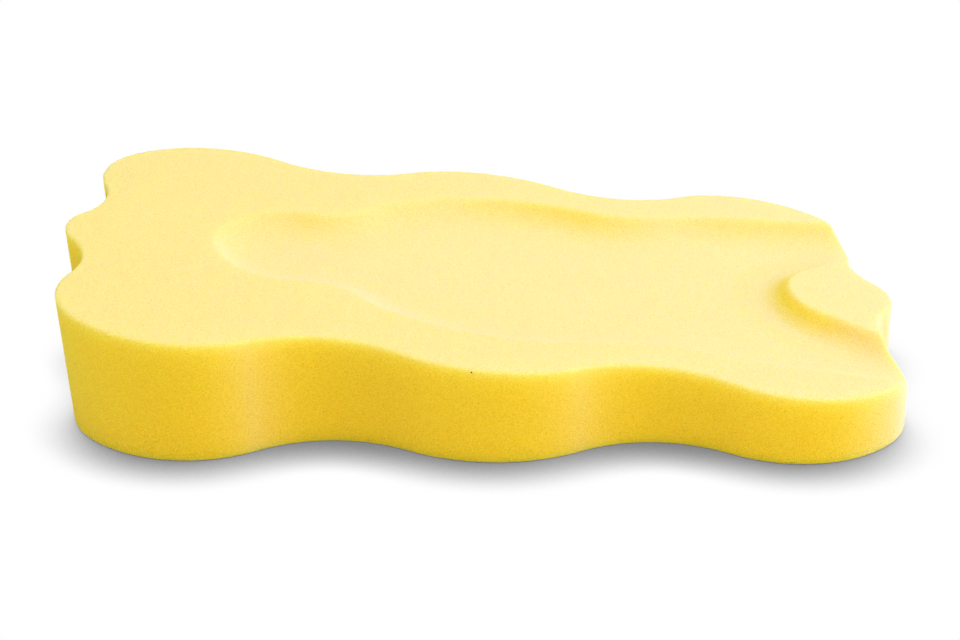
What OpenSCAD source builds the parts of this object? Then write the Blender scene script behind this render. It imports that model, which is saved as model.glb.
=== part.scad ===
// Bath support for a small baby, cut in one piece from a wedge of soft open-cell foam.
// It lies on its flat underside. The head end is the thick one, and the legs leave at the thin foot end.
// +X points to the foot end and +Z up. The origin is on the floor, under the middle of the block.

/* [Block] */
// Overall length
block_len = 550; // [500:1:620]
// Overall width, over the round lobes of the long sides
block_w = 300; // [280:1:340]
// Height at the head end
head_h = 88; // [70:1:110]
// Height at the foot end
foot_h = 39; // [30:1:55]
// Angle by which the cut sides lean towards the head end
side_lean = 3.3; // [0:0.1:6]

/* [Scalloped outline] */
// Radius of the lobe in the middle of each long side
side_lobe_r = 114; // [95:1:140]
// Radius of the two dips beside it
side_dip_r = 93; // [70:1:120]
// Radius of the corner lobes where they meet the long side
corner_side_r = 85; // [70:1:100]
// Radius of the corner lobes where they meet the end
corner_end_r = 51; // [40:1:65]
// Direction in which a corner lobe passes from one radius to the other
corner_turn = 45; // [30:1:60]
// Distance that the corner lobes stay behind the end lobe
corner_setback = 10; // [2:1:20]
// Radius of the lobe in the middle of each end
end_lobe_r = 30; // [20:1:45]
// Radius of the two dips beside it
end_dip_r = 47; // [35:1:70]

/* [Body hollow] */
// Depth of the hollow under the head
head_depth = 10; // [5:0.5:20]
// Depth of the hollow where the legs leave it
foot_depth = 13; // [5:0.5:20]
// Width over which the wall runs down from the rim to the floor
wall_run = 28; // [16:0.5:32]
// Distance before the rim at which the foam starts to round over
rim_round = 3; // [1:0.5:5]
// Distance from the head end to the hollow
head_margin = 97; // [80:1:115]
// Radius of the head bowl
head_bowl_r = 50.5; // [44:0.5:60]
// Radius of the foam on each side of the neck
neck_r = 47; // [35:1:60]
// Distance from the head end to the widest point of the shoulders
shoulder_at = 297; // [285:1:315]
// Width of the hollow at the shoulders
shoulder_w = 207; // [196:1:220]
// Radius of the shoulders' long curve
shoulder_r = 168; // [150:1:185]
// Radius of the shoulders' corners
shoulder_corner_r = 47; // [40:1:60]
// Angle of the long curve before it turns into the corner
shoulder_sweep = 31; // [25:1:36]
// Radius of the foam on each side of the waist
waist_r = 95; // [75:1:130]
// Radius of the hips
hip_r = 200; // [160:1:240]

/* [Leg channels] */
// Width over both leg channels at the foot end
exit_w = 234; // [222:1:246]
// Length of the straight rim beside each leg
leg_len = 100; // [80:1:115]
// Angle by which each leg's outer rim spreads
leg_spread = 5.3; // [2:0.1:8]
// Length of the saddle that parts the legs
saddle_len = 72; // [55:1:90]
// Radius of the saddle's round nose
saddle_nose_r = 42; // [34:1:48]
// Angle by which each side of the saddle spreads
saddle_spread = 35; // [25:1:38]
// Width over which the saddle's side runs down to the floor
saddle_run = 20; // [12:0.5:24]

/* [Hidden] */
// Furthest that a facet strays from its arc
chord_gap = 0.1;
// Steps in the wall between rim and floor
wall_steps = 10;
// How soon the wall falls: at 1 it is a straight slope, above that it is steep at the rim and levels out
wall_power = 3;
// How much closer together the steps of the wall stand near the rim
step_power = 1.4;
// Reach of the cutting solids past the foam
overshoot = 8;

half_len = block_len / 2;
half_w = block_w / 2;

// The sides are cut square to the outline, so the outline is drawn across the leaning cut.
outline_half = (block_len * cos(side_lean) - head_h * sin(side_lean)) / 2;
outline_mid = head_h * sin(side_lean) / 2;

// ---- Arcs that touch ----

// A lobe bulges towards its outside, a dip the other way: [centre, radius, first angle, last angle, side].
function lobe(centre, r, first, last) = [centre, r, first, last, -1];
function dip(centre, r, first, last) = [centre, r, first, last, 1];

// Angle of the direction from one point to another, from 0 up to 360.
function bearing(from, to) = let (a = atan2(to.y - from.y, to.x - from.x)) a < 0 ? a + 360 : a;

function polar(r, a) = r * [cos(a), sin(a)];

// Centre of the circle of radius r that touches two circles from outside.
// It lies left (1) or right (-1) of the way from one to the other.
function nestled(c1, r1, c2, r2, r, side) =
    let (
        gap = norm(c2 - c1),
        along = (gap ^ 2 + (r1 + r) ^ 2 - (r2 + r) ^ 2) / (2 * gap),
        across = sqrt((r1 + r) ^ 2 - along ^ 2),
        way = (c2 - c1) / gap
    )
    c1 + along * way + side * across * [-way.y, way.x];

// Steps that keep the facets of an arc within chord_gap of it.
function arc_steps(arc) = max(2, ceil(abs(arc[3] - arc[2]) / (2 * acos(1 - chord_gap / arc[1]))));

// Points of an arc whose surface has moved inwards by inset. The last point is left to the next arc.
function arc_points(arc, inset = 0) =
    let (n = arc_steps(arc), r = arc[1] + arc[4] * inset)
    [for (i = [0 : n - 1]) arc[0] + polar(r, arc[2] + (arc[3] - arc[2]) * i / n)];

function path_points(arcs, inset = 0) = [for (arc = arcs) each arc_points(arc, inset)];

// ---- Scalloped outline ----

side_lobe_c = [0, half_w - side_lobe_r];
end_lobe_c = [outline_half - end_lobe_r, 0];
corner_side_y = half_w - corner_side_r;
corner_end_c = [
    outline_half - corner_setback - corner_end_r,
    corner_side_y + (corner_side_r - corner_end_r) * sin(corner_turn)
];
corner_side_c = [corner_end_c.x - (corner_side_r - corner_end_r) * cos(corner_turn), corner_side_y];
end_dip_c = nestled(end_lobe_c, end_lobe_r, corner_end_c, corner_end_r, end_dip_r, -1);
side_dip_c = nestled(corner_side_c, corner_side_r, side_lobe_c, side_lobe_r, side_dip_r, -1);

// One quarter, from the middle of the end round to the middle of the long side.
outline_arcs = [
    lobe(end_lobe_c, end_lobe_r, 0, bearing(end_lobe_c, end_dip_c)),
    dip(end_dip_c, end_dip_r, bearing(end_dip_c, end_lobe_c), bearing(end_dip_c, corner_end_c)),
    lobe(corner_end_c, corner_end_r, bearing(corner_end_c, end_dip_c) - 360, corner_turn),
    lobe(corner_side_c, corner_side_r, corner_turn, bearing(corner_side_c, side_dip_c)),
    dip(side_dip_c, side_dip_r, bearing(side_dip_c, corner_side_c), bearing(side_dip_c, side_lobe_c)),
    lobe(side_lobe_c, side_lobe_r, bearing(side_lobe_c, side_dip_c), 90)
];

// The whole outline: the quarter, mirrored over the width and then over the length.
function whole_outline() =
    let (
        quarter = concat(path_points(outline_arcs), [[0, half_w]]),
        q = len(quarter),
        half = concat(quarter, [for (i = [q - 2 : -1 : 0]) [-quarter[i].x, quarter[i].y]]),
        h = len(half)
    )
    concat(half, [for (i = [h - 2 : -1 : 1]) [half[i].x, -half[i].y]]);

// ---- Heights ----

function along_block(x) = (x + half_len) / block_len;
function top_z(x) = head_h + (foot_h - head_h) * along_block(x);
function depth_at(x) = head_depth + (foot_depth - head_depth) * along_block(x);

// ---- Body hollow ----

head_c = [head_margin + head_bowl_r - half_len, 0];
shoulder_c = [shoulder_at - half_len, shoulder_w / 2 - shoulder_r];
shoulder_corner_c = shoulder_c + polar(shoulder_r - shoulder_corner_r, 90 + shoulder_sweep);
exit_x = half_len + overshoot;
leg_x = half_len - leg_len;

// Half width of the straight rim beside a leg, moved inwards by inset.
function leg_y(x, inset) = exit_w / 2 + (x - half_len) * tan(leg_spread) - inset / cos(leg_spread);

hip_c = [leg_x, leg_y(leg_x, 0)] + polar(hip_r, leg_spread - 90);
neck_c = nestled(head_c, head_bowl_r, shoulder_corner_c, shoulder_corner_r, neck_r, 1);
waist_c = nestled(shoulder_c, shoulder_r, hip_c, hip_r, waist_r, 1);

// One side of the hollow, from the crown of the head bowl to the start of the leg's straight rim.
hollow_arcs = [
    lobe(head_c, head_bowl_r, 180, bearing(head_c, neck_c)),
    dip(neck_c, neck_r, bearing(neck_c, head_c), bearing(neck_c, shoulder_corner_c)),
    lobe(shoulder_corner_c, shoulder_corner_r, bearing(shoulder_corner_c, neck_c), 90 + shoulder_sweep),
    lobe(shoulder_c, shoulder_r, 90 + shoulder_sweep, bearing(shoulder_c, waist_c)),
    dip(waist_c, waist_r, bearing(waist_c, shoulder_c), bearing(waist_c, hip_c)),
    lobe(hip_c, hip_r, bearing(hip_c, waist_c), 90 + leg_spread)
];

function hollow_side(inset) =
    concat(
        path_points(hollow_arcs, inset),
        [[leg_x + inset * sin(leg_spread), leg_y(leg_x + inset * sin(leg_spread), inset)]],
        [[exit_x, leg_y(exit_x, inset)]]
    );

// ---- Saddle between the legs ----

saddle_c = [half_len - saddle_len + saddle_nose_r, 0];

// One side of the saddle, from its nose to past the foot end. The saddle grows by outset towards its foot.
function saddle_side(outset) =
    let (r = saddle_nose_r + outset, nose = lobe(saddle_c, saddle_nose_r, 180, 90 + saddle_spread))
    concat(
        arc_points(nose, -outset),
        [saddle_c + polar(r, 90 + saddle_spread)],
        [[exit_x, (r + (exit_x - saddle_c.x) * sin(saddle_spread)) / cos(saddle_spread)]]
    );

// ---- Wall between rim and floor ----

// Distance in from the rim, eased so that it leaves 0 softly at rim_round before the rim.
function eased(inset) = inset < rim_round ? (inset + rim_round) ^ 2 / (4 * rim_round) : inset;

// The wall from the start of the rounding to the floor: at each step its inset and its share of the depth.
function wall_line(run) = [
    for (step = [0 : wall_steps])
        let (inset = (run + rim_round) * (step / wall_steps) ^ step_power - rim_round)
            [inset, 1 - max(0, 1 - eased(inset) / run) ^ wall_power]
];

hollow_wall = wall_line(wall_run);
saddle_wall = wall_line(saddle_run);

// A side mirrored into a closed ring, at a share of the depth under the top face and raised by lift.
function ring(side, share, lift = 0) =
    let (
        n = len(side),
        loop = concat(side, [for (i = [n - 1 : -1 : 1]) [side[i].x, -side[i].y]])
    )
    [for (p = loop) [p.x, p.y, top_z(p.x) - share * depth_at(p.x) + lift]];

// Solid skin over rings of equal length that lie under each other, closed by strips from side to side.
module loft(rings) {
    n = len(rings[0]);
    m = (n + 1) / 2;
    last = n * (len(rings) - 1);
    skin = [
        for (k = [0 : len(rings) - 2], i = [0 : n - 1])
            let (a = k * n + i, b = k * n + (i + 1) % n)
                each [[a, b + n, b], [a, a + n, b + n]]
    ];
    lid = [
        for (i = [1 : m - 2])
            each [[i, n - i - 1, n - i], [i, i + 1, n - i - 1]]
    ];
    crown = [0, 1, n - 1];
    underside = [for (f = concat([crown], lid)) [last + f[0], last + f[2], last + f[1]]];
    polyhedron(
        points = [for (r = rings) each r],
        faces = concat(skin, [crown], lid, underside)
    );
}

// The wall's first facet is carried on above the top face, so that the cut starts clear of it.
module hollow_space() {
    above = 2 * hollow_wall[0] - hollow_wall[1];
    rim = hollow_side(above.x);
    loft(concat(
        [ring(rim, above.y, overshoot), ring(rim, above.y)],
        [for (step = [1 : wall_steps]) ring(hollow_side(hollow_wall[step].x), hollow_wall[step].y)]
    ));
}

// The saddle's last slope is carried on below the hollow's floor, so that the two meet cleanly.
module saddle_space() {
    above = 2 * saddle_wall[0] - saddle_wall[1];
    below = 2 * saddle_wall[wall_steps - 1] - saddle_wall[wall_steps - 2];
    rim = saddle_side(above.x);
    foot = saddle_side(below.x);
    loft(concat(
        [ring(rim, above.y, 2 * overshoot), ring(rim, above.y)],
        [for (step = [1 : wall_steps - 1]) ring(saddle_side(saddle_wall[step].x), saddle_wall[step].y)],
        [ring(foot, below.y), ring(foot, below.y, -overshoot)]
    ));
}

// ---- Foam ----

// The outline, cut through the block by a wire that leans towards the head end.
module scalloped_prism() {
    rotate([0, -side_lean, 0])
        translate([outline_mid, 0, -head_h])
            linear_extrude(height = 3 * head_h)
                polygon(whole_outline());
}

// The block that the outline is cut from: flat below, sloping from the head end down to the foot end.
module wedge() {
    reach = half_len + 2 * overshoot;
    rotate([90, 0, 0])
        linear_extrude(height = block_w + 2 * overshoot, center = true)
            polygon([[-reach, 0], [reach, 0], [reach, top_z(reach)], [-reach, top_z(-reach)]]);
}

module foam_body() {
    color([0.98, 0.87, 0.45])
        difference() {
            intersection() {
                wedge();
                scalloped_prism();
            }
            difference() {
                hollow_space();
                saddle_space();
            }
        }
}

foam_body();
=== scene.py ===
# %% [markdown]
# # A foam bath support, dressed for its picture
# The object is one block of soft yellow foam, cut as a wedge with a scalloped outline. A hollow in
# its top holds a small baby: a bowl for the head, a wider part for the shoulders, a waist, and two
# channels for the legs with a raised saddle between them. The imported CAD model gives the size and
# the place of everything. This script puts a finely modelled skin with the finish of real foam in
# place of the plain solid.

import bpy
import numpy as np
from mathutils import Matrix, Vector
from mathutils.bvhtree import BVHTree


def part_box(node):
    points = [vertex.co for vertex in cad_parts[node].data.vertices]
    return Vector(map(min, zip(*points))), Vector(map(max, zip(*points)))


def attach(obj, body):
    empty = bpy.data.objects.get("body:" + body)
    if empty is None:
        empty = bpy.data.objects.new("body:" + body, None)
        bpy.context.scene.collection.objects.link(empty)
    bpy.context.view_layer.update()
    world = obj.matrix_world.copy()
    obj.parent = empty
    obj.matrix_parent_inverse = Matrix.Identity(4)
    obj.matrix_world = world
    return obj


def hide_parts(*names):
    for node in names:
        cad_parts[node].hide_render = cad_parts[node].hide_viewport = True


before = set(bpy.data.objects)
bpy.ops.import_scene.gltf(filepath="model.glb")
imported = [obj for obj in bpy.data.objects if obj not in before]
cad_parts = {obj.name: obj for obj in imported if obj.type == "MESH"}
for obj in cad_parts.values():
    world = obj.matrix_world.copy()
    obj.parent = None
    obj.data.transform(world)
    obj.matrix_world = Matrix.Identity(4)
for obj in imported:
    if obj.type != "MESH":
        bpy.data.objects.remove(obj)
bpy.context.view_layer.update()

low, high = (np.array(corner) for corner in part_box("foam_body"))
print("CAD block, metres:", (high - low).round(4))

# %% [markdown]
# ## What the photograph shows, and where
# These are the only places in the picture that the script keeps. The first four are how far the
# object reaches to each side. The others are places that are easy to find again: the outermost
# point of a lobe, the deepest point of a dip. Each is found along one curve of the object, and
# "way" says in which direction of the picture it is outermost. The camera is settled by them, and
# at the end the script measures how far the finished foam is from each.

# %% Image points
PHOTO_W, PHOTO_H = 960, 640
reach_in_photo = {"left": 55, "right": 909, "top": 147, "bottom": 465}
LEFT, RIGHT, UP, DOWN = (-1, 0), (1, 0), (0, -1), (0, 1)
features_in_photo = {
    # name: (curve, way, x, y)
    "far head lobe": ("top edge", LEFT, 103, 178.5),
    "middle head lobe": ("top edge", LEFT, 65.5, 230),
    "near head dip": ("top edge", RIGHT, 85, 254),
    "near head lobe": ("top edge", LEFT, 55, 295.5),
    "near side dip by the head": ("top edge", UP, 300, 336),
    "near side lobe": ("top edge", DOWN, 526, 376),
    "near side dip by the foot": ("top edge", UP, 623.5, 363),
    "near foot lobe": ("top edge", RIGHT, 907.5, 386.5),
    "far side lobe": ("top edge", UP, 444, 171.5),
    "bottom dip by the head": ("bottom edge", UP, 334, 439.5),
    "bottom of the side lobe": ("bottom edge", DOWN, 500, 463),
    "bottom dip by the foot": ("bottom edge", UP, 649, 441),
    "nose of the saddle": ("saddle rim", LEFT, 786, 285),
    "end of the head bowl": ("hollow rim", LEFT, 214, 240),
}
dark_pore_in_photo = (471.5, 372.5)

# %% [markdown]
# ## The camera
# The photograph looks at one long side from about 28 degrees above the floor, with a longish lens
# and a slight roll. Those numbers were found by matching the block's top and bottom edges to the
# picture. The camera only turns towards the object, and its sensor isn't shifted, so other views
# stay plain too.

# %% Camera
LONG_SIDE = max(PHOTO_W, PHOTO_H)
MM = 0.001

camera_place = np.array([-39.6, -1067.9, 578.1]) * MM
turn_right, look_down, roll = np.radians([1.94, 27.61, 1.36])
lens_mm, sensor_mm = 67.1, 36.0
shift_x = shift_y = 0.0


def camera_axes():
    """The camera's right, up and forward: a look along +Y, turned right, tipped down and rolled."""
    forward = np.array([np.sin(turn_right) * np.cos(look_down),
                        np.cos(turn_right) * np.cos(look_down),
                        -np.sin(look_down)])
    level = np.array([np.cos(turn_right), -np.sin(turn_right), 0])
    upright = np.cross(level, forward)
    right = np.cos(roll) * level + np.sin(roll) * upright
    return right, np.cross(right, forward), forward


cam_right, cam_up, cam_forward = camera_axes()
camera_data = bpy.data.cameras.new("camera")
camera_data.lens, camera_data.sensor_width, camera_data.sensor_fit = lens_mm, sensor_mm, "AUTO"
camera_data.shift_x, camera_data.shift_y = shift_x, shift_y
camera = bpy.data.objects.new("camera", camera_data)
turned = Matrix(np.stack([cam_right, cam_up, -cam_forward], axis=1).tolist())
camera.matrix_world = Matrix.Translation(Vector(camera_place)) @ turned.to_4x4()
bpy.context.scene.collection.objects.link(camera)
bpy.context.scene.camera = camera
print("camera looks down", round(np.degrees(look_down), 1), "degrees from", camera_place.round(3))

# %% [markdown]
# ## Between the picture and the object
# Two helpers go back and forth. One gives the place in the picture of any point in space. The other
# sends a ray from the camera through a place in the picture and gives the point of a surface that
# it meets, which is how a small detail is put exactly where the photograph has it.

# %% To the picture and back
# Distances from the camera at which a ray that meets nothing is compared with the surface, in metres.
MISS_TRIES = np.arange(0.5, 2.0, 0.002)


def to_photo(points):
    """Where points show in the photograph: each offset from the camera over its distance ahead."""
    offset = np.atleast_2d(points) - camera_place
    scale = LONG_SIDE * lens_mm / sensor_mm / (offset @ cam_forward)
    return np.stack([PHOTO_W / 2 - shift_x * LONG_SIDE + offset @ cam_right * scale,
                     PHOTO_H / 2 + shift_y * LONG_SIDE - offset @ cam_up * scale], axis=1)


def on_surface(tree, x, y):
    """Where the photograph's point (x, y) lies on a surface. The ray in the camera's axes is
    (x - W/2 + shift_x L, H/2 - y + shift_y L, -L lens / sensor). A miss takes the place nearest the ray."""
    ray = Vector((x - PHOTO_W / 2 + shift_x * LONG_SIDE, PHOTO_H / 2 - y + shift_y * LONG_SIDE,
                  -LONG_SIDE * lens_mm / sensor_mm))
    start, way = Vector(camera_place), (turned @ ray).normalized()
    hit = tree.ray_cast(start, way)[0]
    if hit is None:
        tries = [tree.find_nearest(start + way * distance) for distance in MISS_TRIES]
        hit = min(tries, key=lambda found: found[3])[0]
    return np.array(hit)


# %% [markdown]
# ## The outline
# The scalloped outline is a chain of arcs that touch: round lobes that bulge outwards, and dips
# between them. A dip's centre is where a circle of its radius rests against the two lobes on each
# side. A spline through many points would do too, but a few radii say the same, and give exactly
# the CAD model's outline. Only a quarter is worked out, and mirrored. The foam is cut by a wire
# that leans a little towards the head end, so the outline lies in the plane across that wire.

# %% Sizes of the block and its outline
block_len, block_w, head_h = high - low
foot_h = 39 * MM
side_lean = np.radians(3.3)
side_lobe_r, side_dip_r = 114 * MM, 93 * MM
corner_side_r, corner_end_r = 85 * MM, 51 * MM
corner_turn = np.radians(45)
corner_setback = 10 * MM
end_lobe_r, end_dip_r = 30 * MM, 47 * MM

half_len, half_w = block_len / 2, block_w / 2
outline_half = (block_len * np.cos(side_lean) - head_h * np.sin(side_lean)) / 2
outline_mid = head_h * np.sin(side_lean) / 2


def at_angle(radius, angle):
    """The point at a distance and an angle from the origin: r (cos a, sin a)."""
    return radius * np.stack([np.cos(angle), np.sin(angle)], axis=-1)


def bearing(start, end):
    """Angle of the direction from one point to another, from 0 up to a full turn."""
    return np.arctan2(end[1] - start[1], end[0] - start[0]) % (2 * np.pi)


def nestled(c1, r1, c2, r2, r, side):
    """Centre of the circle of radius r that touches two circles, left (1) or right (-1) of the way from the
    first to the second. Its distances to their centres are r1 + r and r2 + r, which fixes the triangle."""
    gap = np.hypot(*(c2 - c1))
    along = (gap ** 2 + (r1 + r) ** 2 - (r2 + r) ** 2) / (2 * gap)
    across = np.sqrt((r1 + r) ** 2 - along ** 2)
    way = (c2 - c1) / gap
    return c1 + along * way + side * across * np.array([-way[1], way[0]])


side_lobe_c = np.array([0, half_w - side_lobe_r])
end_lobe_c = np.array([outline_half - end_lobe_r, 0])
corner_side_y = half_w - corner_side_r
corner_end_c = np.array([outline_half - corner_setback - corner_end_r,
                         corner_side_y + (corner_side_r - corner_end_r) * np.sin(corner_turn)])
corner_side_c = np.array([corner_end_c[0] - (corner_side_r - corner_end_r) * np.cos(corner_turn),
                          corner_side_y])
end_dip_c = nestled(end_lobe_c, end_lobe_r, corner_end_c, corner_end_r, end_dip_r, -1)
side_dip_c = nestled(corner_side_c, corner_side_r, side_lobe_c, side_lobe_r, side_dip_r, -1)

# One quarter, from the middle of the end round to the middle of the long side: centre, radius, two angles.
outline_arcs = [
    (end_lobe_c, end_lobe_r, 0, bearing(end_lobe_c, end_dip_c)),
    (end_dip_c, end_dip_r, bearing(end_dip_c, end_lobe_c), bearing(end_dip_c, corner_end_c)),
    (corner_end_c, corner_end_r, bearing(corner_end_c, end_dip_c) - 2 * np.pi, corner_turn),
    (corner_side_c, corner_side_r, corner_turn, bearing(corner_side_c, side_dip_c)),
    (side_dip_c, side_dip_r, bearing(side_dip_c, corner_side_c), bearing(side_dip_c, side_lobe_c)),
    (side_lobe_c, side_lobe_r, bearing(side_lobe_c, side_dip_c), np.pi / 2),
]


def arc_points(arc, spacing):
    """Points of an arc at about a given spacing: centre + r (cos a, sin a), without its last point."""
    centre, radius, first, last = arc
    steps = max(2, round(abs(last - first) * radius / spacing))
    return centre + at_angle(radius, np.linspace(first, last, steps, endpoint=False))


def outline_ring(spacing):
    """The whole outline, once round from the middle of the foot end: the quarter, and its mirror images."""
    quarter = np.concatenate([arc_points(arc, spacing) for arc in outline_arcs] + [[[0, half_w]]])
    half = np.concatenate([quarter, quarter[-2::-1] * [-1, 1]])
    return np.concatenate([half, half[-2:0:-1] * [1, -1]])


COLUMN_SPACING = 2.2 * MM
ring = outline_ring(COLUMN_SPACING)
columns = len(ring)
print("outline:", columns, "columns")

# %% [markdown]
# ## The hollow
# The real hollow is pressed or carved into the block. It could be cut out of a solid with a Boolean
# modifier, but that leaves a hard rim and ragged faces. Here it is a depth taken off the height of
# the top, so what the skin needs is how far each of its points lies inside the rim. The rim is a
# second chain of arcs. The nearest arc is the one whose sector holds the point, and the distance to
# it is just the point's distance from the centre set against the radius.

# %% Sizes of the hollow
head_depth, foot_depth = 10 * MM, 13 * MM
head_margin, head_bowl_r, neck_r = 97 * MM, 50.5 * MM, 47 * MM
shoulder_at, shoulder_w, shoulder_r, shoulder_corner_r = 297 * MM, 207 * MM, 168 * MM, 47 * MM
shoulder_sweep = np.radians(31)
waist_r, hip_r = 95 * MM, 200 * MM
exit_w, leg_len = 234 * MM, 100 * MM
leg_spread = np.radians(5.3)
saddle_len, saddle_nose_r = 72 * MM, 42 * MM
saddle_spread = np.radians(35)

head_c = np.array([head_margin + head_bowl_r - half_len, 0])
shoulder_c = np.array([shoulder_at - half_len, shoulder_w / 2 - shoulder_r])
shoulder_corner_c = shoulder_c + at_angle(shoulder_r - shoulder_corner_r, np.pi / 2 + shoulder_sweep)
leg_start = np.array([half_len - leg_len, exit_w / 2 - leg_len * np.tan(leg_spread)])
hip_c = leg_start + at_angle(hip_r, leg_spread - np.pi / 2)
neck_c = nestled(head_c, head_bowl_r, shoulder_corner_c, shoulder_corner_r, neck_r, 1)
waist_c = nestled(shoulder_c, shoulder_r, hip_c, hip_r, waist_r, 1)
saddle_c = np.array([half_len - saddle_len + saddle_nose_r, 0])

LOBE, DIP = 1, -1
# A hair of an angle, so that no point falls between two sectors.
HAIR = 1e-6
rim_arcs = [
    (LOBE, head_c, head_bowl_r, np.pi, bearing(head_c, neck_c)),
    (DIP, neck_c, neck_r, bearing(neck_c, head_c), bearing(neck_c, shoulder_corner_c)),
    (LOBE, shoulder_corner_c, shoulder_corner_r, bearing(shoulder_corner_c, neck_c),
     np.pi / 2 + shoulder_sweep),
    (LOBE, shoulder_c, shoulder_r, np.pi / 2 + shoulder_sweep, bearing(shoulder_c, waist_c)),
    (DIP, waist_c, waist_r, bearing(waist_c, shoulder_c), bearing(waist_c, hip_c)),
    (LOBE, hip_c, hip_r, bearing(hip_c, waist_c), np.pi / 2 + leg_spread),
]


def inside_rim(x, y):
    """Distance inside the rim of the hollow, less than 0 outside: r - |p - c| at a lobe, |p - c| - r at a
    dip, and the distance from the straight rim beside the leg. Both sides are alike, so y is |y|."""
    point = np.stack([x, np.abs(y)], axis=-1)
    nearest = np.full(x.shape, np.inf)
    for kind, centre, radius, first, last in rim_arcs:
        offset = point - centre
        angle = np.arctan2(offset[..., 1], offset[..., 0])
        middle, reach = (first + last) / 2, abs(last - first) / 2
        in_sector = np.abs((angle - middle + np.pi) % (2 * np.pi) - np.pi) <= reach + HAIR
        distance = kind * (radius - np.hypot(offset[..., 0], offset[..., 1]))
        closer = in_sector & (np.abs(distance) < np.abs(nearest))
        nearest = np.where(closer, distance, nearest)
    offset = point - leg_start
    beside = offset @ at_angle(1, leg_spread)
    distance = -(offset @ at_angle(1, leg_spread + np.pi / 2))
    closer = (beside >= 0) & (np.abs(distance) < np.abs(nearest))
    nearest = np.where(closer, distance, nearest)
    return np.where(np.isinf(nearest), half_w, nearest)


def outside_saddle(x, y):
    """Distance outside the saddle: |p - c| - r round its nose, and the distance from its straight side."""
    offset = np.stack([x, np.abs(y)], axis=-1) - saddle_c
    side_way = at_angle(1, saddle_spread)
    side_out = at_angle(1, saddle_spread + np.pi / 2)
    from_side = offset @ side_out - saddle_nose_r
    from_nose = np.hypot(offset[..., 0], offset[..., 1]) - saddle_nose_r
    return np.where(offset @ side_way > 0, from_side, from_nose)


# %% [markdown]
# ## The wall of the hollow
# The wall is steep just inside the rim and levels out over some five centimetres, so the floor has
# no visible edge. One minus a high power gives that: it falls fast at first and arrives flat. The
# CAD solid has the same wall with a shorter tail; the skin's differs from it by little more than a
# millimetre. The rim itself is a small soft roll, because foam can't hold a sharp edge. The
# saddle's sides fall the same way. Where both walls meet, in the leg channels, their shares are
# multiplied, which leaves no crease.

# %% Heights of the top
wall_run, saddle_run, rim_round, wall_power = 52 * MM, 38 * MM, 3 * MM, 5


def eased(inset):
    """Distance inside the rim, rounded: 0 before the rim's roll, (d + r)^2 / 4r on it, and d inside it."""
    rolled = np.clip(inset + rim_round, 0, 2 * rim_round) ** 2 / (4 * rim_round)
    return np.where(inset > rim_round, inset, rolled)


def wall_share(inset, run):
    """Share of the depth that the wall has come down: 1 - (1 - d / run)^power."""
    return 1 - np.clip(1 - eased(inset) / run, 0, 1) ** wall_power


def hollow_share(x, y):
    """Share of the depth that the wall under the rim lets through."""
    return wall_share(inside_rim(x, y), wall_run)


def saddle_share(x, y):
    """Share of the depth that the saddle's side lets through."""
    return wall_share(outside_saddle(x, y), saddle_run)


def slope_z(x):
    """Height of the sloping top plane: head height at the head end, foot height at the foot end."""
    return head_h + (foot_h - head_h) * (x + half_len) / block_len


def top_z(x, y):
    """Height of the finished top: the sloping plane less the hollow's depth, times both walls' shares."""
    depth = head_depth + (foot_depth - head_depth) * (x + half_len) / block_len
    return slope_z(x) - depth * hollow_share(x, y) * saddle_share(x, y)


print("floor of the hollow in the middle, mm:", round(float(top_z(np.zeros(1), np.zeros(1))[0]) / MM, 1))

# %% [markdown]
# ## The skin
# The skin is one grid. Its columns stand side by side round the outline. Its rows start under the
# block, turn round the bottom edge, climb the wall, roll over the top edge and run inwards to a
# spine along the middle, where left and right columns meet. The height of a row on top comes from
# the function above, so the hollow and the saddle appear by themselves, and so do the low places
# where the legs leave at the foot end. A block that is cut and bevelled with modifiers would get
# its edge loops in the wrong places for such a soft top.

# %% Rounded edges
TOP_ROUND, BOTTOM_ROUND = 2 * MM, 1.5 * MM
ROUND_ROWS, SETTLE_TURNS = 5, 12

after, before = np.roll(ring, -1, axis=0), np.roll(ring, 1, axis=0)
tangent = (after - before) / np.linalg.norm(after - before, axis=1, keepdims=True)
inward = np.stack([-tangent[:, 1], tangent[:, 0]], axis=1)


def wall_xy(z, inset):
    """Where the wall stands at height z, moved inwards. The leaning cut runs (x + m) / cos a - z tan a."""
    x = (ring[:, 0] + outline_mid) / np.cos(side_lean) - z * np.tan(side_lean)
    return np.stack([x, ring[:, 1]], axis=1) + inset * inward


def bottom_row(angle):
    """A row of the rounded bottom edge: r (1 - sin a) above the floor, r (1 - cos a) in from the wall."""
    z = np.full(columns, BOTTOM_ROUND * (1 - np.sin(angle)))
    return np.column_stack([wall_xy(z, BOTTOM_ROUND * (1 - np.cos(angle))), z])


def top_row(angle):
    """A row of the rounded top edge: i = r (1 - cos a) in from the wall, and r - sqrt(r^2 - (r - i)^2)
    below the top there. Place and height depend on each other, so they take turns until they settle."""
    inset = TOP_ROUND * (1 - np.cos(angle))
    drop = TOP_ROUND - np.sqrt(TOP_ROUND ** 2 - (TOP_ROUND - inset) ** 2)
    z = np.full(columns, foot_h)
    for _ in range(SETTLE_TURNS):
        xy = wall_xy(z, inset)
        z = top_z(xy[:, 0], xy[:, 1]) - drop
    return np.column_stack([wall_xy(z, inset), z])


turn = np.linspace(0, np.pi / 2, ROUND_ROWS)
bottom_edge = [bottom_row(angle) for angle in turn[::-1]]
top_edge = [top_row(angle) for angle in turn]
brim_z = top_edge[0][:, 2] / MM
print("top of the wall, mm: from", brim_z.min().round(1), "to", brim_z.max().round(1))

# %% Rows of the wall and the top
WALL_ROWS, TOP_ROWS = 12, 68
SPINE_HALF = 165 * MM
# Rows on the wall stand closer together near the top edge, where the colour changes.
CLIMB_POWER = 1.8

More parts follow.
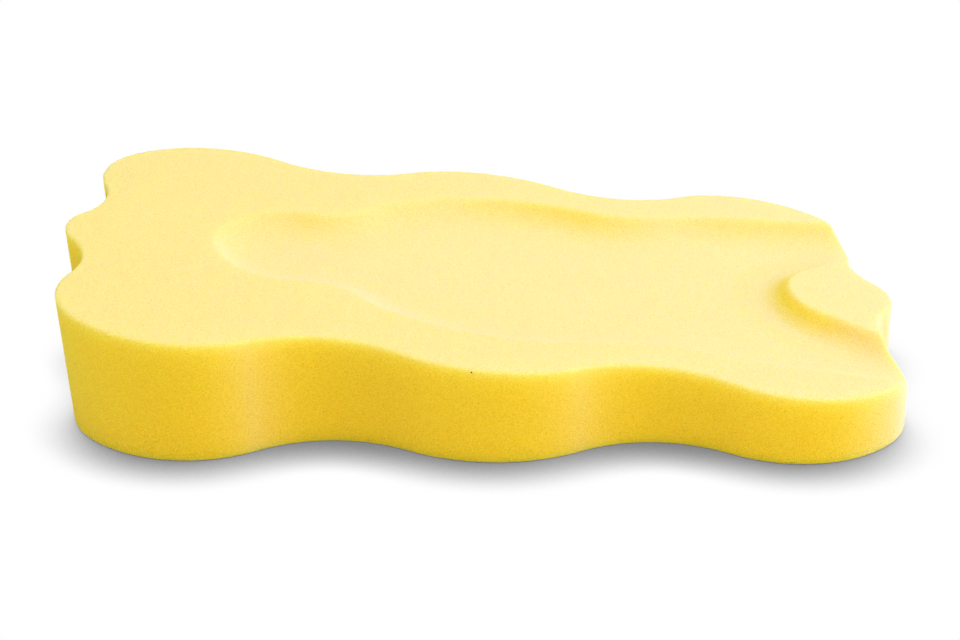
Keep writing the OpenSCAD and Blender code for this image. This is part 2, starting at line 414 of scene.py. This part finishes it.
foot, brim = bottom_edge[-1], top_edge[0]
climb = 1 - (1 - np.linspace(0, 1, WALL_ROWS + 2)[1:-1]) ** CLIMB_POWER
wall = [foot + (brim - foot) * share for share in climb]

spine_x = SPINE_HALF * np.cos(2 * np.pi * np.arange(columns) / columns)
spine_xy = np.column_stack([spine_x, np.zeros(columns)])
inner_xy = top_edge[-1][:, :2]
top = []
for share in np.linspace(0, 1, TOP_ROWS + 1)[1:-1]:
    xy = inner_xy + (spine_xy - inner_xy) * share
    top.append(np.column_stack([xy, top_z(xy[:, 0], xy[:, 1])]))

rows = np.stack(bottom_edge + wall + top_edge + top)
wall_rows = len(bottom_edge) + len(wall) + len(top_edge)
print("skin:", len(rows), "rows of", columns)

# %% [markdown]
# ## One closed surface
# Underneath and on top, the first and the last row are joined to the spine. A point of the spine
# belongs to two columns, one from the left side and one from the right, so the columns are numbered
# there and back again.

# %% Close the skin along the spine
spine_count = columns // 2 + 1
spine_of_column = np.minimum(np.arange(columns), columns - np.arange(columns))
spine_y = np.zeros(spine_count)
spine_top = np.column_stack([spine_x[:spine_count], spine_y, top_z(spine_x[:spine_count], spine_y)])
spine_bottom = np.column_stack([spine_x[:spine_count], spine_y, np.zeros(spine_count)])
points = np.concatenate([rows.reshape(-1, 3), spine_top, spine_bottom])

grid_ids = np.arange(rows.shape[0] * columns).reshape(-1, columns)
over_ids = grid_ids.size + spine_of_column
under_ids = over_ids + spine_count
here = np.concatenate([under_ids[None], grid_ids, over_ids[None]])
there = np.roll(here, -1, axis=1)
faces = np.stack([here[:-1], there[:-1], there[1:], here[1:]], axis=-1).reshape(-1, 4).tolist()

mesh = bpy.data.meshes.new("foam_skin")
mesh.from_pydata(points.tolist(), [], faces)
mesh.polygons.foreach_set("use_smooth", np.ones(len(mesh.polygons), bool))
mesh.update()
foam = bpy.data.objects.new("foam_skin", mesh)
bpy.context.scene.collection.objects.link(foam)
foam_tree = BVHTree.FromPolygons(points.tolist(), faces)
print("skin:", len(points), "points,", len(faces), "faces")

# %% [markdown]
# ## Pale top, deep walls
# The sloping top is pale and the cut walls a deep yellow. That is partly the foam's own colour and
# partly painted light: the top, which catches the light, is painted paler than the walls. Painted
# light and shade vary that too. The top is painted a little deeper at the head end than at the foot
# end, where the lamp at the right falls, and paler inside the head bowl. Slopes of the hollow that
# turn away from the light, such as the far wall and the saddle's side, get painted shade, and the
# near wall, which turns to the light, has a painted highlight, a paler bloom. A wall that faces the
# foot end is painted paler as well, as the light from the right would make it. It could be painted
# by hand, but it all follows the shape, so it is worked out and kept as two numbers on each point of
# the skin, which a material can read. "deep" is 0 on the palest top and 1 on a deep wall. "glow" is
# the share of a warmer, brighter yellow, painted light where light that entered through the top
# comes out again: on a wall it rises just under the top edge and fades further down.

# %% Which way each point faces
normals = np.zeros(len(points) * 3, np.float32)
mesh.vertices.foreach_get("normal", normals)
normals = normals.reshape(-1, 3)
tilt = np.arccos(np.clip(normals[:, 2], -1, 1))
# How much a point leans along and across the block, beyond the lean of the sloping top itself.
lean_x, lean_y = normals[:, 0] - (head_h - foot_h) / block_len, normals[:, 1]

x, y, z = points.T
along = (x + half_len) / block_len
from_rim, from_saddle = inside_rim(x, y), outside_saddle(x, y)
below_top = np.maximum(top_z(x, y) - z, 0)
wall_side = np.concatenate([np.repeat(np.arange(len(rows)) < wall_rows, columns),
                            np.zeros(spine_count, bool), np.ones(spine_count, bool)])
print("points on the wall and underside:", wall_side.sum(), "and on the top:", (~wall_side).sum())

# %% How deep the flat top is
# Painted light: the flat top is painted deeper at the head end and paler towards the foot end, where the
# lamp at the right falls.
TOP_DEEP_AT_HEAD, TOP_DEEP_AT_FOOT = 0.42, 0.19
# How much paler, as painted light, the hollow's floor is at the head end, and how soon that fades towards
# the foot end.
BOWL_PALE, BOWL_POWER = 0.6, 2

flat_deep = TOP_DEEP_AT_HEAD + (TOP_DEEP_AT_FOOT - TOP_DEEP_AT_HEAD) * along
flat_deep *= 1 - BOWL_PALE * np.clip(from_rim / wall_run, 0, 1) * (1 - along) ** BOWL_POWER
print("deep share of the flat top: from", flat_deep.min().round(2), "to", flat_deep.max().round(2))

# %% How deep the shaded slopes are
# Painted shade: the way to the light, seen from above, and how far a slope has to turn from it before it is
# painted deeper.
LIGHT_X, LIGHT_Y, SHADED_FROM = 0.75, 0.66, 0.4
# The painted shade on slopes is weak near the head end and at its full share from halfway on.
SHADED_WHERE, SHADED_SHARES = (0.15, 0.5), (0.32, 1.45)
# A slope of the first tilt is still pale, and one of the second would be as deep as a wall.
PALE_TILT, DEEP_TILT = np.radians(2), np.radians(47)
SADDLE_FADE = 90 * MM
LEAST_LEAN = 1e-6


def half_wave(share):
    """0 below 0, 1 above 1, and half a cosine wave between: (1 - cos(pi s)) / 2."""
    return (1 - np.cos(np.pi * np.clip(share, 0, 1))) / 2


lit = (LIGHT_X * lean_x + LIGHT_Y * lean_y) / np.maximum(np.hypot(lean_x, lean_y), LEAST_LEAN)
shaded = np.clip(-lit - SHADED_FROM, 0, 1) * np.interp(along, SHADED_WHERE, SHADED_SHARES)
# The saddle's side gets painted shade all round its nose, whichever way it turns, and that fades towards
# the foot end, where the lamp at the right falls.
beside_saddle = saddle_share(x, y) < hollow_share(x, y)
saddle_painted_shade = 1 - half_wave((x - half_len + SADDLE_FADE) / SADDLE_FADE)
steep = np.clip((tilt - PALE_TILT) / (DEEP_TILT - PALE_TILT), 0, 1)
slope_painted_shade = np.where(beside_saddle, saddle_painted_shade, np.clip(shaded, 0, 1)) * steep
print("deepest slope of the hollow:", slope_painted_shade[~wall_side].max().round(2))

# %% The painted highlight on the lit slopes
# The way a slope leans to have the most painted highlight, and the lean that has it in full.
BLOOM_X, BLOOM_Y, BLOOM_LEAN = 0.35, 0.9, 0.24
# Its share along the block: where the head bowl begins, near the bowl's middle, and at the foot end.
BLOOM_WHERE, BLOOM_SHARES = (0.18, 0.3, 1), (0.3, 0.65, 0.1)

painted_bloom = np.clip((BLOOM_X * lean_x + BLOOM_Y * lean_y) / BLOOM_LEAN, 0, 1)
painted_bloom *= np.interp(along, BLOOM_WHERE, BLOOM_SHARES)
top_deep = slope_painted_shade + (1 - slope_painted_shade) * flat_deep * (1 - painted_bloom)
print("deep share of the whole top, on average:", top_deep[~wall_side].mean().round(2))

# %% How deep the walls are, and where they glow
# How far below the top edge the top's paleness reaches, and where the painted glow of light that comes
# through the edge rises and fades.
PALE_REACH, GLOW_RISE, GLOW_REACH = 2.0 * MM, 1.5 * MM, 6.5 * MM
# The share of that painted glow on the slopes of the top.
SLOPE_GLOW = 0.5
# Painted light: how much paler a wall is painted that faces the foot end, where the lamp at the right
# falls, and how soon that ends when it turns away.
FOOT_FACING_PAINTED_LIGHT, FOOT_FACING_POWER = 1.4, 2.6

foot_facing_painted_light = np.clip(normals[:, 0], 0, 1) ** FOOT_FACING_POWER
wall_deep = 1 - (1 - flat_deep) * np.exp(-below_top / PALE_REACH)
wall_deep *= 1 - np.clip(FOOT_FACING_PAINTED_LIGHT * foot_facing_painted_light, 0, 1)
painted_edge_glow = (1 - np.exp(-below_top / GLOW_RISE)) * np.exp(-below_top / GLOW_REACH)
deep = np.where(wall_side, wall_deep, top_deep)
glow = np.where(wall_side, painted_edge_glow, SLOPE_GLOW)
for name, values in (("deep", deep), ("glow", glow)):
    mesh.attributes.new(name, "FLOAT", "POINT").data.foreach_set("value", values.astype(np.float32))
print("deep share, on average:", deep.mean().round(2), "and glow:", glow.mean().round(2))

# %% [markdown]
# ## Softer shading under the top edge
# Foam lets light through its edges, so the wall just below the top is never as dark as a hard
# block's would be: it shades as if it still faced up a little. A rounder edge would give that too,
# but would spoil the crisp outline of the top. So the shape stays, and only the normals used for
# shading lean up there, less and less further down.

# %% Normals that lean up
EDGE_LEAN, EDGE_REACH = np.radians(30), 8 * MM

lean_up = np.where(wall_side, np.tan(EDGE_LEAN * np.exp(-below_top / EDGE_REACH)), 0)
soft = normals.astype(float)
soft[:, 2] += lean_up * np.hypot(soft[:, 0], soft[:, 1])
soft /= np.linalg.norm(soft, axis=1, keepdims=True)
mesh.normals_split_custom_set_from_vertices(soft.tolist())
print("shading leans up by", round(float(np.degrees(EDGE_LEAN))), "degrees at the top edge")

# %% [markdown]
# ## Short ways to make nodes
# A material is a graph of small nodes. Most are a sum, a mix or a change of range, so three helpers
# make those in one line each. A value that is another node's output is linked, and any other value
# is written in the socket.


# %% Helpers for nodes
def feed(links, socket, value):
    """Gives a socket its value: by a link from another node's output, or as a plain number or colour."""
    if isinstance(value, bpy.types.NodeSocket):
        links.new(value, socket)
    else:
        socket.default_value = value


def calculate(nodes, links, operation, *values, clamp=False):
    """What a Math node makes of the values, such as a x b + c for MULTIPLY_ADD, or that kept in 0 to 1."""
    node = nodes.new("ShaderNodeMath")
    node.operation, node.use_clamp = operation, clamp
    for socket, value in zip(node.inputs, values):
        feed(links, socket, value)
    return node.outputs["Value"]


def mix(nodes, links, share, at_none, at_all, kind="FLOAT"):
    """A mix of two numbers, or of two colours: (1 - share) x the first + share x the second."""
    node = nodes.new("ShaderNodeMix")
    node.data_type = kind
    for name, value in (("Factor", share), ("A", at_none), ("B", at_all)):
        feed(links, node.inputs[name], value)
    return node.outputs["Result"]


def change_range(nodes, links, value, old, new, smooth=False):
    """A value carried from an old range to a new one and kept inside it, in a straight line or, if smooth,
    in an S."""
    node = nodes.new("ShaderNodeMapRange")
    node.interpolation_type = "SMOOTHSTEP" if smooth else "LINEAR"
    for name, number in zip(("From Min", "From Max", "To Min", "To Max"), (*old, *new)):
        node.inputs[name].default_value = number
    feed(links, node.inputs["Value"], value)
    return node.outputs["Result"]


# %% [markdown]
# ## The cells of the foam
# Cut foam is a carpet of open bubbles a little under a millimetre across. From a metre away they
# show only as a fine grain. The group makes two layers of it: round cells from a Voronoi texture,
# and an uneven density from a noise texture. It gives out a grain value around 0 for the colour,
# and a height for the bump. Modelled bubbles would need millions of faces and would look the same
# from here.

# %% Foam cells, as a node group
NOISE_DETAIL, NOISE_ROUGHNESS = 2, 0.6
NOISE_SHARE, CELL_SHARE = 2, 0.8
NOISE_MEAN, CELL_MEAN = 0.5, 0.5


def foam_cells_group():
    """Grain = noise share x (noise - its mean) + cell share x (mean distance - distance), where distance
    is the one to the middle of the cell. Height = that distance, so that cells meet in ridges."""
    group = bpy.data.node_groups.new("foam cells", "ShaderNodeTree")
    place = group.interface.new_socket("Place", in_out="INPUT", socket_type="NodeSocketVector")
    place.hide_value = True
    group.interface.new_socket("Cells per metre", in_out="INPUT", socket_type="NodeSocketFloat")
    group.interface.new_socket("Grain", in_out="OUTPUT", socket_type="NodeSocketFloat")
    group.interface.new_socket("Height", in_out="OUTPUT", socket_type="NodeSocketFloat")
    nodes, links = group.nodes, group.links
    entry, leave = nodes.new("NodeGroupInput"), nodes.new("NodeGroupOutput")
    bubbles = nodes.new("ShaderNodeTexVoronoi")
    density = nodes.new("ShaderNodeTexNoise")
    density.inputs["Detail"].default_value = NOISE_DETAIL
    density.inputs["Roughness"].default_value = NOISE_ROUGHNESS
    for texture in (bubbles, density):
        links.new(entry.outputs["Place"], texture.inputs["Vector"])
        links.new(entry.outputs["Cells per metre"], texture.inputs["Scale"])
    distance, noise = bubbles.outputs["Distance"], density.outputs["Fac"]
    from_cells = calculate(nodes, links, "MULTIPLY_ADD", distance, -CELL_SHARE, CELL_SHARE * CELL_MEAN)
    from_noise = calculate(nodes, links, "MULTIPLY_ADD", noise, NOISE_SHARE, -NOISE_SHARE * NOISE_MEAN)
    links.new(calculate(nodes, links, "ADD", from_cells, from_noise), leave.inputs["Grain"])
    links.new(distance, leave.inputs["Height"])
    return group


foam_cells = foam_cells_group()
print("node group:", foam_cells.name, [socket.name for socket in foam_cells.interface.items_tree])

# %% [markdown]
# ## The foam material
# The material is one Principled shader. Foam has no gloss, so the specular level is nothing and the
# roughness high. Light gets into foam and comes out a centimetre away, which softens every edge and
# shadow, so most of the diffuse light goes under the surface, and red and green reach further than
# blue, which is why foam glows in a warm yellow. A little yellowish sheen stands for the cut cell
# walls, which stand up like a very short nap and catch light that grazes them.

# %% The foam's shader
FOAM_FINISH = {
    "Roughness": 0.9,
    "Specular IOR Level": 0.0,
    "Sheen Weight": 0.25,
    "Sheen Tint": (1.0, 0.93, 0.4, 1),
    "Sheen Roughness": 0.5,
    "Subsurface Weight": 0.9,
    "Subsurface Radius": (1.0, 0.8, 0.15),
    "Subsurface Scale": 12 * MM,
}
CELLS_PER_METRE = 1200

material = bpy.data.materials.new("foam")
material.use_nodes = True
mesh.materials.append(material)
nodes, links = material.node_tree.nodes, material.node_tree.links
shader = nodes["Principled BSDF"]
for name, value in FOAM_FINISH.items():
    shader.inputs[name].default_value = value

coordinates = nodes.new("ShaderNodeTexCoord")
grain = nodes.new("ShaderNodeGroup")
grain.node_tree = foam_cells
grain.inputs["Cells per metre"].default_value = CELLS_PER_METRE
links.new(coordinates.outputs["Object"], grain.inputs["Place"])
print("material:", material.name, "with", CELLS_PER_METRE, "cells per metre")

# %% [markdown]
# ## Its colour
# Two mixes make the yellow: from the deep to the glowing yellow by "glow", and from the pale one to
# that by "deep", moved a little by the grain, because cut cells are uneven. Both mixes carry the
# painted light and shade worked out above. Then each cell is a touch lighter or darker, more so on
# the walls, and the lowest part of a wall gets painted shade, a touch darker where the floor hides
# light.

# %% Yellow by depth and glow
# PALE carries painted light, the whitish look of the lit top, and GLOW painted light that comes through the
# top edge. DEEP is the foam's deep yellow.
PALE = (0.84, 0.71, 0.385, 1)
DEEP = (0.97, 0.632, 0.027, 1)
GLOW = (1.0, 0.77, 0.055, 1)
TOP_DEEP_GRAIN, WALL_DEEP_GRAIN = 0.6, 0.1


def attribute(name):
    """The number that the skin keeps under a name."""
    node = nodes.new("ShaderNodeAttribute")
    node.attribute_name = name
    return node.outputs["Fac"]


deep_share = attribute("deep")
grain_on_deep = mix(nodes, links, deep_share, -TOP_DEEP_GRAIN, -WALL_DEEP_GRAIN)
grained = calculate(nodes, links, "MULTIPLY_ADD", grain.outputs["Grain"], grain_on_deep, deep_share,
                    clamp=True)
wall_yellow = mix(nodes, links, attribute("glow"), DEEP, GLOW, "RGBA")
yellow = mix(nodes, links, grained, PALE, wall_yellow, "RGBA")
print("yellows:", PALE[:3], DEEP[:3], GLOW[:3])

# %% Shade of each cell, and towards the floor
TOP_SHADE_GRAIN, WALL_SHADE_GRAIN = 0.14, 0.27
# Painted shade: a wall darkens towards the floor, to this share at its foot, over this reach.
FOOT_SHADE, FOOT_SHADE_REACH = 0.96, 60 * MM

height = nodes.new("ShaderNodeSeparateXYZ")
links.new(coordinates.outputs["Object"], height.inputs["Vector"])
painted_floor_shade = change_range(nodes, links, height.outputs["Z"], (0, FOOT_SHADE_REACH), (FOOT_SHADE, 1))
plain_shade = mix(nodes, links, deep_share, 1.0, painted_floor_shade)
shade_grain = mix(nodes, links, deep_share, TOP_SHADE_GRAIN, WALL_SHADE_GRAIN)
shade = calculate(nodes, links, "MULTIPLY_ADD", grain.outputs["Grain"], shade_grain, plain_shade)
coloured = nodes.new("ShaderNodeVectorMath")
coloured.operation = "SCALE"
links.new(yellow, coloured.inputs["Vector"])
links.new(shade, coloured.inputs["Scale"])
print("shade at the floor:", FOOT_SHADE)

# %% [markdown]
# ## One open pore
# Now and then a bubble much larger than the rest is cut open, and shows as a dark dot, because its
# inside lies in shade. The photograph has one, just under the top edge of the near side. It is about
# a millimetre wide, too small for the skin's grid, so its shade is painted as a dark spot in the
# material, at the place where the ray through that point of the picture meets the skin.

# %% The dark pore
PORE_R, PORE_INSIDE, PORE_OUTSIDE = 0.47 * MM, 0.8, 1.4
# The painted shade inside the open pore.
PORE_SHADE = (0.03, 0.015, 0.0, 1)

pore_place = on_surface(foam_tree, *dark_pore_in_photo)
from_pore = nodes.new("ShaderNodeVectorMath")
from_pore.operation = "DISTANCE"
from_pore.inputs[1].default_value = pore_place
links.new(coordinates.outputs["Object"], from_pore.inputs[0])
in_pore = change_range(nodes, links, from_pore.outputs["Value"],
                       (PORE_INSIDE * PORE_R, PORE_OUTSIDE * PORE_R), (1, 0))
with_pore = mix(nodes, links, in_pore, coloured.outputs["Vector"], PORE_SHADE, "RGBA")
links.new(with_pore, shader.inputs["Base Color"])
print("dark pore, mm:", (pore_place / MM).round(1))

# %% The pits of the cells
BUMP_DEPTH = 0.2 * MM

bump = nodes.new("ShaderNodeBump")
bump.inputs["Distance"].default_value = BUMP_DEPTH
links.new(grain.outputs["Height"], bump.inputs["Height"])
links.new(bump.outputs["Normal"], shader.inputs["Normal"])
print("bump, mm:", round(BUMP_DEPTH / MM, 2))

# %% [markdown]
# ## The floor and the white ground
# The object lies on white, with one soft grey shadow that falls towards the viewer. For the camera,
# the floor glows white, and is darker only where the foam hides part of the space above it. That
# share comes from ambient occlusion. It looks out from the floor tipped towards the back, so that a
# place in front of the foam is hidden more than a place behind it, just as if the studio's light
# came from behind. The lamps' own shadows would tie the floor's grey to the light on the foam, and
# this way each is set by itself. For every other ray the floor is plain pale matter, so that it
# lights the foam's sides from below.

# %% The floor itself
FLOOR_HALF = 6.0

floor_mesh = bpy.data.meshes.new("floor")
corners = FLOOR_HALF * np.array([(-1, -1, 0), (1, -1, 0), (1, 1, 0), (-1, 1, 0)])
floor_mesh.from_pydata(corners.tolist(), [], [(0, 1, 2, 3)])
floor = bpy.data.objects.new("floor", floor_mesh)
bpy.context.scene.collection.objects.link(floor)
print("floor:", 2 * FLOOR_HALF, "m square")

# %% The floor's material
FLOOR_COLOUR = (0.8, 0.8, 0.8, 1)
SHADOW_REACH, SHADOW_SAMPLES = 40 * MM, 16
SHADOW_LOOKS = (0.1, 0.8, 0.59)
HIDDEN, OPEN, SHADOW_DARKEST = 0.12, 0.92, 0.14


def seen_rays(nodes, links):
    """1 for the rays that show the ground itself: straight from the camera, mirrored, or through glass."""
    path = nodes.new("ShaderNodeLightPath")
    total = path.outputs["Is Camera Ray"]
    for kind in ("Is Glossy Ray", "Is Transmission Ray"):
        total = calculate(nodes, links, "MAXIMUM", total, path.outputs[kind])
    return total


def open_share(nodes, links):
    """The share of the space around a tipped direction that is open, as ambient occlusion gives it."""
    direction = nodes.new("ShaderNodeCombineXYZ")
    for axis, value in zip("XYZ", SHADOW_LOOKS):
        direction.inputs[axis].default_value = value
    occlusion = nodes.new("ShaderNodeAmbientOcclusion")
    occlusion.samples = SHADOW_SAMPLES
    occlusion.inputs["Distance"].default_value = SHADOW_REACH
    links.new(direction.outputs["Vector"], occlusion.inputs["Normal"])
    return occlusion.outputs["AO"]


floor_material = bpy.data.materials.new("floor")
floor_material.use_nodes = True
floor_mesh.materials.append(floor_material)
floor_nodes, floor_links = floor_material.node_tree.nodes, floor_material.node_tree.links
floor_nodes.clear()
pale_matter = floor_nodes.new("ShaderNodeBsdfDiffuse")
pale_matter.inputs["Color"].default_value = FLOOR_COLOUR
white_ground = floor_nodes.new("ShaderNodeEmission")
brightness = change_range(floor_nodes, floor_links, open_share(floor_nodes, floor_links), (HIDDEN, OPEN),
                          (SHADOW_DARKEST, 1), smooth=True)
floor_links.new(brightness, white_ground.inputs["Strength"])
choose = floor_nodes.new("ShaderNodeMixShader")
floor_links.new(seen_rays(floor_nodes, floor_links), choose.inputs["Fac"])
floor_links.new(pale_matter.outputs["BSDF"], choose.inputs[1])
floor_links.new(white_ground.outputs["Emission"], choose.inputs[2])
floor_out = floor_nodes.new("ShaderNodeOutputMaterial")
floor_links.new(choose.outputs["Shader"], floor_out.inputs["Surface"])
print("shadow reaches, mm:", round(SHADOW_REACH / MM))

# %% [markdown]
# ## The light
# A picture of a studio could light the scene, but lamps can stand where the photograph's light
# comes from. They are big and soft, so nothing has a hard shadow: a strong one at the right, which
# makes the sides that face right lighter, one overhead, one in front, and weaker ones behind and at
# the left. The world adds an even weak light from all round, so that no side is dark. To the camera
# the world is plain white, as the floor is. The lamps are just strong enough for the foam's colours
# to show about as they are written.

# %% World
WORLD_LIGHT = 0.22

world = bpy.data.worlds.new("studio")
world.use_nodes = True
bpy.context.scene.world = world
world_nodes, world_links = world.node_tree.nodes, world.node_tree.links
sky = world_nodes["Background"]
sky.inputs["Color"].default_value = (1, 1, 1, 1)
sky_strength = change_range(world_nodes, world_links, seen_rays(world_nodes, world_links),
                            (0, 1), (WORLD_LIGHT, 1))
world_links.new(sky_strength, sky.inputs["Strength"])
print("world light:", WORLD_LIGHT)

# %% Lamps
AIM = Vector((0, 0, 50 * MM))
lamps = [
    # name, place in metres, size in metres, watts
    ("right", (2.2, 0.0, 1.0), 2.0, 27.5),
    ("top", (0.15, 0.1, 2.15), 1.5, 25),
    ("front", (0.75, -1.85, 1.1), 1.5, 21.3),
    ("back", (0.2, 2.0, 1.0), 1.5, 8),
    ("left", (-2.2, -0.3, 0.55), 1.0, 11.5),
]


def softbox(name, place, size, watts):
    """A square area lamp at a place, turned to the middle of the object."""
    light = bpy.data.lights.new(name, "AREA")
    light.size, light.energy = size, watts
    lamp = bpy.data.objects.new(name, light)
    turn_to_object = (AIM - Vector(place)).to_track_quat("-Z", "Y").to_matrix().to_4x4()
    lamp.matrix_world = Matrix.Translation(Vector(place)) @ turn_to_object
    bpy.context.scene.collection.objects.link(lamp)


for lamp in lamps:
    softbox(*lamp)
bpy.context.scene.view_settings.view_transform = "Standard"
print("lamps:", [light.name for light in bpy.data.lights])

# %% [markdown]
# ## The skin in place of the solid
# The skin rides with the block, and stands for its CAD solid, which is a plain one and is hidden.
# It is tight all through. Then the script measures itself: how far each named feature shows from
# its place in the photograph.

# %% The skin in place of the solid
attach(foam, "root")
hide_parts("foam_body")
print("foam skin stands for foam_body")

# %% The curves that the features lie on
NEAR_RIM, SEEN_WITHIN = 1.2 * MM, 1 * MM


def near_curve(distance):
    """The points of the top that lie close to a rim."""
    return np.flatnonzero(~wall_side & (np.abs(distance) < NEAR_RIM))


def shows(place):
    """Whether the camera sees a point: the ray to it meets the foam no sooner than just before it."""
    start = Vector(camera_place)
    reach = Vector(place) - start
    hit = foam_tree.ray_cast(start, reach.normalized())[0]
    return hit is None or (hit - start).length > reach.length - SEEN_WITHIN


curves = {
    "top edge": grid_ids[wall_rows - ROUND_ROWS:wall_rows].ravel(),
    "bottom edge": grid_ids[:ROUND_ROWS].ravel(),
    "saddle rim": near_curve(from_saddle),
    "hollow rim": near_curve(from_rim),
}
print("points on each curve:", {name: len(ids) for name, ids in curves.items()})

# %% How far each feature shows from its place in the photograph
# Near each feature's place, the point of its curve that is in view and outermost in the feature's
# direction is the feature as built. The search stops short of the next lobe.
SEARCH = 20

in_photo = to_photo(points)
edges = {"left": in_photo[:, 0].min(), "right": in_photo[:, 0].max(),
         "top": in_photo[:, 1].min(), "bottom": in_photo[:, 1].max()}
measured = {name: {"photo": reach_in_photo[name], "shows": round(float(at), 1),
                   "off": round(float(at) - reach_in_photo[name], 1)} for name, at in edges.items()}
for name, (curve, way, at_x, at_y) in features_in_photo.items():
    ids = curves[curve]
    close = ids[np.hypot(*(in_photo[ids] - (at_x, at_y)).T) < SEARCH]
    outermost_first = close[np.argsort(-(in_photo[close] @ way))]
    found = next((in_photo[i] for i in outermost_first if shows(points[i])), None)
    measured[name] = {"photo": [at_x, at_y], "shows": None, "off": None}
    if found is not None:
        measured[name]["shows"] = found.round(1).tolist()
        measured[name]["off"] = (found - (at_x, at_y)).round(1).tolist()
pore_shows = to_photo(pore_place)[0]
measured["dark pore"] = {"photo": list(dark_pore_in_photo), "shows": pore_shows.round(1).tolist(),
                         "off": (pore_shows - dark_pore_in_photo).round(1).tolist()}
for name, row in measured.items():
    print(f"{name:28s} off by {row['off']}")
